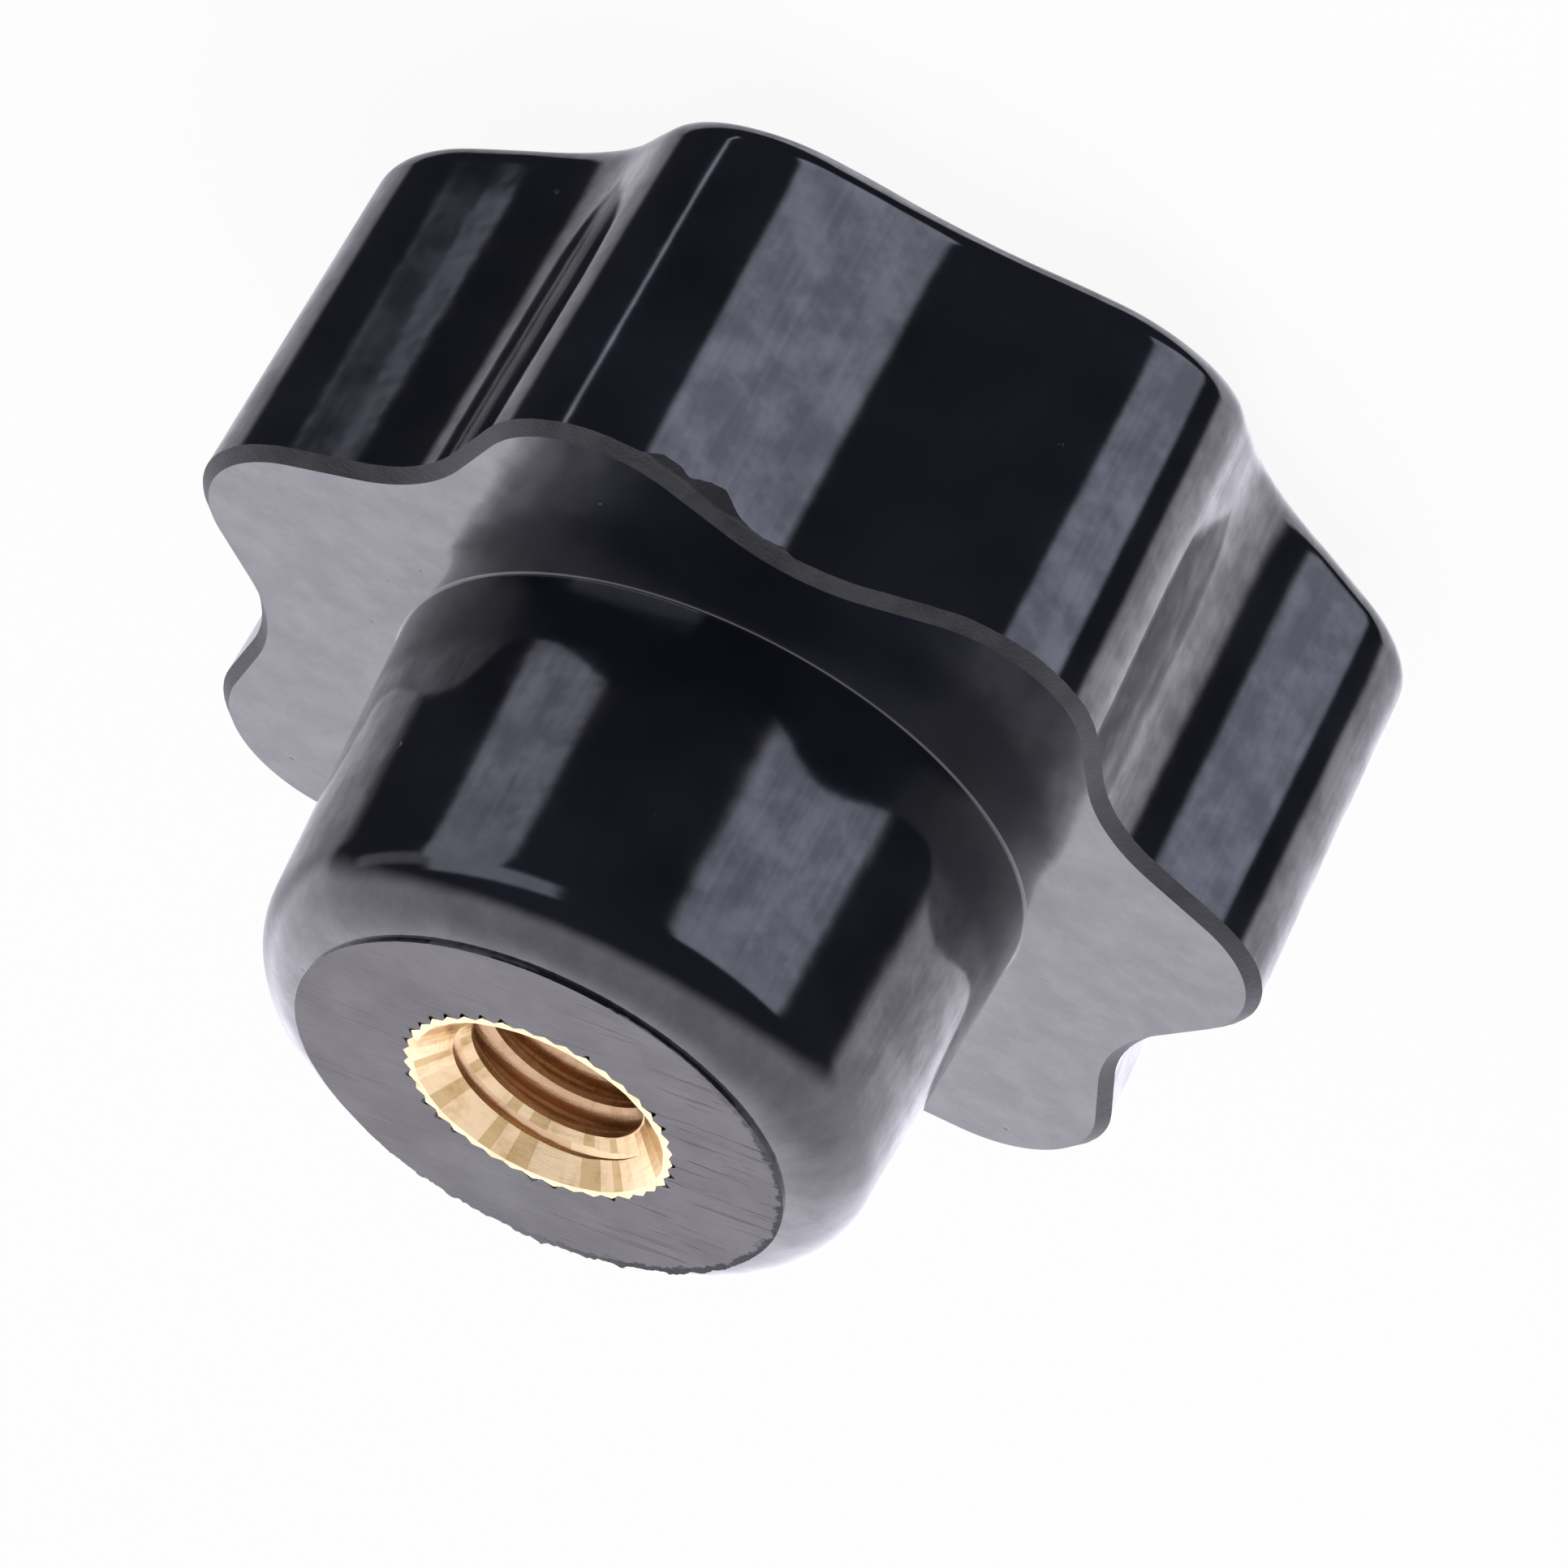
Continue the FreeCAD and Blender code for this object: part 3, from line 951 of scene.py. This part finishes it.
class STARKNOB_OT_studio(bpy.types.Operator):
    """Sets up the pale floor, the light tent with its soft panels, and the camera"""

    bl_idname = "star_knob.studio"
    bl_label = "Studio"

    def execute(self, context):
        knob = context.scene.star_knob
        self.floor(knob.studio, knob.colours)
        self.tent(context)
        self.lamp()
        self.camera(context, knob.studio)
        context.scene.view_settings.view_transform = "Standard"
        return {"FINISHED"}

    def floor(self, studio, colours):
        """A wide pale floor that looks nearly white to the camera and still takes the knob's shadow."""
        bpy.ops.object.select_all(action="DESELECT")
        bpy.ops.mesh.primitive_plane_add(size=studio.floor_width, location=(0, 0, 0))
        floor = bpy.context.object
        floor.name = "floor"
        floor.visible_glossy = False
        material = bpy.data.materials.new("pale_floor")
        nodes = Nodes(material)
        seen = nodes.add("ShaderNodeLightPath", output="Is Camera Ray")
        paint = nodes.add("ShaderNodeBsdfDiffuse", None, {"Color": colours.floor})
        white = nodes.add("ShaderNodeEmission", None, {"Color": (1, 1, 1, 1), "Strength": 1.0})
        # The paint's small share shows the shadow
        both = nodes.add("ShaderNodeMixShader", None, {0: seen * 0.93, 1: paint, 2: white})
        nodes.add("ShaderNodeOutputMaterial", None, {"Surface": both})
        floor.data.materials.append(material)

    def tent(self, context):
        """The world: plain light, and in reflections a bright tent with a dark front and soft panels."""
        world = bpy.data.worlds.new("light_tent")
        context.scene.world = world
        world.cycles.sampling_method = "NONE"
        nodes = Nodes(world)
        toward = nodes.add("ShaderNodeTexCoord", output="Generated")

        def along(axis):
            """How far the ray points along an axis."""
            return nodes.measure("DOT_PRODUCT", toward, axis)

        def panel(azimuth, elevation, half_width, half_height, soft):
            """1 on a flat panel in a direction. Its half sizes and soft edge are shares of its distance."""
            middle = direction(azimuth, elevation)
            side = Vector((0, 0, 1)).cross(middle).normalized()
            ahead = along(middle)
            across = (along(side) / ahead).math("ABSOLUTE")
            up = (along(middle.cross(side)) / ahead).math("ABSOLUTE")
            inside = (1 - across.step(half_width - soft, half_width + soft)) * \
                (1 - up.step(half_height - soft, half_height + soft))
            return inside * ahead.step(0.0, 0.01)

        height = along(Vector((0, 0, 1)))
        level = (1 - height * height).math("SQRT")
        front = along(direction(32, 0))
        # The dark front ends at a slope above and at an upright edge on each side
        dark = (front + 0.14 * level - 0.91 * height).step(-0.32, 0.25) * (front / level).step(-0.34, -0.18)
        low_back = along(direction(160, -38)).step(0.74, 0.92)
        bright_back = along(direction(-164, 14)).step(0.35, 1.0)
        walls = (0.94 + 0.23 * (1 - height.math("ABSOLUTE")) + 0.6 * bright_back) * (1 - 0.55 * low_back)
        side_panel = panel(79.5, -12.5, 0.26, 0.245, 0.03).math("MAXIMUM", panel(68, 7, 0.42, 0.17, 0.05))
        side_panel = side_panel.math("MAXIMUM", 0.4 * panel(82, 2, 0.80, 0.12, 0.06))
        front_panel = panel(-18, -33, 0.42, 0.42, 0.055)
        edge_strip = panel(81.3, -38, 0.02, 0.18, 0.018)
        panels = front_panel * 1.1 + side_panel * 0.82 + edge_strip * 1.7
        glow = walls * (1 - dark) + dark * 0.02 + panels
        mirrored_light = nodes.add("ShaderNodeLightPath", output="Is Glossy Ray")
        camera_light = nodes.add("ShaderNodeLightPath", output="Is Camera Ray")
        tint = nodes.mix(panels, (1.0, 0.975, 1.09, 1.0), (0.93, 0.96, 1.22, 1.0))
        plain = nodes.add("ShaderNodeBackground", None, {"Strength": 0.8 + camera_light * 0.2})
        tent = nodes.add("ShaderNodeBackground", None, {"Color": tint, "Strength": glow})
        light = nodes.add("ShaderNodeMixShader", None, {0: mirrored_light, 1: plain, 2: tent})
        nodes.add("ShaderNodeOutputWorld", None, {"Surface": light})

    def lamp(self):
        """A large soft lamp above the camera and beside it, for the floor's shadow and the matte surfaces."""
        distance = 600.0 * MM
        bpy.ops.object.light_add(type="AREA", location=direction(-60, 60) * distance)
        lamp = bpy.context.object
        lamp.name = "soft_lamp"
        lamp.data.shape = "DISK"
        lamp.data.size = 500.0 * MM
        lamp.data.energy = 1.2
        lamp.visible_glossy = False
        lamp.rotation_euler = lamp.location.to_track_quat("Z", "Y").to_euler()

    def camera(self, context, studio):
        """The camera at the picture's angle, rolled as the picture is."""
        target = Vector(TARGET) * MM
        back = direction(math.degrees(studio.azimuth), math.degrees(studio.elevation))
        bpy.ops.object.camera_add(location=target + back * studio.distance)
        camera = bpy.context.object
        turn = back.to_track_quat("Z", "Y") @ Quaternion((0, 0, 1), studio.roll)
        camera.rotation_euler = turn.to_euler()
        camera.data.sensor_width = 36.0
        camera.data.lens = studio.lens
        camera.data.clip_start = 0.01
        camera.data.clip_end = 20.0
        context.scene.camera = camera


class STARKNOB_PT_panel(bpy.types.Panel):
    """Lists the star knob's pieces, sizes and colours"""

    bl_idname = "STARKNOB_PT_panel"
    bl_label = "Star knob"
    bl_space_type = "VIEW_3D"
    bl_region_type = "UI"
    bl_category = "Star knob"

    def draw(self, context):
        for step in STEPS:
            self.layout.operator(step.bl_idname)
        knob = context.scene.star_knob
        for sizes in (knob.moulding, knob.insert, knob.colours, knob.studio):
            box = self.layout.box()
            for name in sizes.__annotations__:
                box.prop(sizes, name)


GROUPS = (MouldingSizes, InsertSizes, KnobColours, StudioSizes, StarKnob)
STEPS = (STARKNOB_OT_moulding, STARKNOB_OT_insert, STARKNOB_OT_studio)
CLASSES = GROUPS + STEPS + (STARKNOB_PT_panel,)


def register():
    for item in CLASSES:
        bpy.utils.register_class(item)
    bpy.types.Scene.star_knob = group(StarKnob, "Star knob", "Sizes and colours of the star knob")


def unregister():
    del bpy.types.Scene.star_knob
    for item in reversed(CLASSES):
        bpy.utils.unregister_class(item)


def main():
    register()
    bpy.ops.star_knob.moulding()
    bpy.ops.star_knob.insert()
    bpy.ops.star_knob.studio()


if __name__ == "__main__":
    main()
